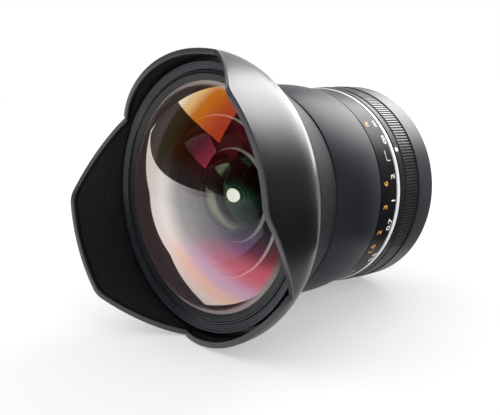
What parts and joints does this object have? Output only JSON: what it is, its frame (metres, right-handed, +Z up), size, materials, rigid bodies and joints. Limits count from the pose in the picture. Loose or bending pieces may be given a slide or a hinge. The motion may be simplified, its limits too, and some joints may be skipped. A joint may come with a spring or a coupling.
{
  "type": "camera lens",
  "caption": "Ultra-wide manual-focus camera lens with a petal hood, a distance scale ring that turns, a ribbed grip, an electronic iris and a bayonet mount.",
  "frame": {"origin": "centre of the mount flange's rear face, on the optical axis", "axes": "+Y along the optical axis towards the rear, so the front glass faces -Y. +Z is up as the lens lies on its side: the index mark is 64 degrees round from +Z towards +X"},
  "size_m": [0.095, 0.1038, 0.095],
  "materials": {
    "hood": "satin black anodised alloy, fine texture outside, matt grooves inside",
    "barrel_paint": "satin black anodised alloy",
    "trim": "satin black with fine turned grooves",
    "ring_paint": "smooth satin blue-black anodised alloy",
    "white_ring": "white satin enamel",
    "glass": "polished and coated optical glass",
    "cell_alloy": "matt black anodised",
    "iris_metal": "blackened spring steel",
    "iris_body": "matt black",
    "brass": "bright turned",
    "screw_steel": "bright steel",
    "mount_chrome": "satin chrome on brass",
    "black_plastic": "matt black",
    "board": "green circuit board and amber flat cable",
    "felt": "black felt"
  },
  "bodies": {
    "barrel": {"hood_shell": "hood", "front_barrel": "barrel_paint", "trim_ring": "trim", "front_retaining_ring": "trim", "element_01": "glass", "element_02": "glass", "element_03": "glass", "element_04": "glass", "element_05": "glass", "front_cell": "cell_alloy", "second_cell": "cell_alloy", "second_retaining_ring": "cell_alloy", "third_retaining_ring": "cell_alloy", "fifth_retaining_ring": "cell_alloy", "main_barrel": "cell_alloy", "iris_base": "iris_body", "iris_cover": "iris_body", "iris_screws": "screw_steel", "iris_motor": "screw_steel", "iris_cable": "board", "grip_ring": "barrel_paint", "index_ring": "barrel_paint", "accent_ring": "white_ring", "rear_barrel": "barrel_paint", "bayonet_mount": "mount_chrome", "mount_screws": "screw_steel", "contact_block": "black_plastic", "contact_pins": "brass", "main_board": "board", "rear_baffle": "black_plastic", "felt_ring": "felt", "barrel_screws": "screw_steel", "focus_stop_screw": "screw_steel"},
    "focus_ring": {"focus_ring": "ring_paint", "scale_ring": "ring_paint", "cam_sleeve": "cell_alloy", "focus_ring_screws": "screw_steel"},
    "focus_group": {"focus_carrier": "cell_alloy", "cam_followers": "brass", "rear_cell": "cell_alloy", "rear_cell_screws": "screw_steel", "element_06": "glass", "element_07": "glass", "element_08": "glass", "element_09": "glass", "element_10": "glass", "element_11": "glass", "element_12": "glass", "element_13": "glass", "rear_spacers": "cell_alloy", "rear_retaining_ring": "cell_alloy"},
    "iris_ring": {"iris_drive_ring": "iris_metal"},
    "iris_pinion": {"iris_pinion": "screw_steel"},
    "iris_blade_1": {"iris_blade_1": "iris_metal"},
    "iris_blade_2": {"iris_blade_2": "iris_metal"},
    "iris_blade_3": {"iris_blade_3": "iris_metal"},
    "iris_blade_4": {"iris_blade_4": "iris_metal"},
    "iris_blade_5": {"iris_blade_5": "iris_metal"},
    "iris_blade_6": {"iris_blade_6": "iris_metal"}
  },
  "joints": [
    {"name": "focus_turn", "type": "hinge", "parent": "barrel", "child": "focus_ring", "pos_m": [0, 0, 0], "axis": [0, -1, 0], "range_deg": [0, 180]},
    {"name": "focus_slide", "type": "slide", "parent": "barrel", "child": "focus_group", "axis": [0, -1, 0], "range_m": [0, 0.0015]},
    {"name": "iris_turn", "type": "hinge", "parent": "barrel", "child": "iris_ring", "pos_m": [0, 0, 0], "axis": [0, -1, 0], "range_deg": [0, 30]},
    {"name": "blade_1_turn", "type": "hinge", "parent": "barrel", "child": "iris_blade_1", "pos_m": [0.01123, -0.043, 0.00548], "axis": [0, -1, 0], "range_deg": [0, 24]},
    {"name": "blade_2_turn", "type": "hinge", "parent": "barrel", "child": "iris_blade_2", "pos_m": [0.00087, -0.043, 0.01247], "axis": [0, -1, 0], "range_deg": [0, 24]},
    {"name": "blade_3_turn", "type": "hinge", "parent": "barrel", "child": "iris_blade_3", "pos_m": [-0.01036, -0.043, 0.00699], "axis": [0, -1, 0], "range_deg": [0, 24]},
    {"name": "blade_4_turn", "type": "hinge", "parent": "barrel", "child": "iris_blade_4", "pos_m": [-0.01123, -0.043, -0.00548], "axis": [0, -1, 0], "range_deg": [0, 24]},
    {"name": "blade_5_turn", "type": "hinge", "parent": "barrel", "child": "iris_blade_5", "pos_m": [-0.00087, -0.043, -0.01247], "axis": [0, -1, 0], "range_deg": [0, 24]},
    {"name": "blade_6_turn", "type": "hinge", "parent": "barrel", "child": "iris_blade_6", "pos_m": [0.01036, -0.043, -0.00699], "axis": [0, -1, 0], "range_deg": [0, 24]},
    {"name": "pinion_turn", "type": "hinge", "parent": "barrel", "child": "iris_pinion", "pos_m": [-0.01334, -0.043, -0.01381], "axis": [0, -1, 0], "range_deg": [-210, 0]}
  ],
  "couplings": [
    {"joint": "focus_slide", "follows": "focus_turn", "m_per_rad": 0.00047746},
    {"joint": "blade_1_turn", "follows": "iris_turn", "ratio": 0.8},
    {"joint": "blade_2_turn", "follows": "iris_turn", "ratio": 0.8},
    {"joint": "blade_3_turn", "follows": "iris_turn", "ratio": 0.8},
    {"joint": "blade_4_turn", "follows": "iris_turn", "ratio": 0.8},
    {"joint": "blade_5_turn", "follows": "iris_turn", "ratio": 0.8},
    {"joint": "blade_6_turn", "follows": "iris_turn", "ratio": 0.8},
    {"joint": "pinion_turn", "follows": "iris_turn", "ratio": -7}
  ]
}
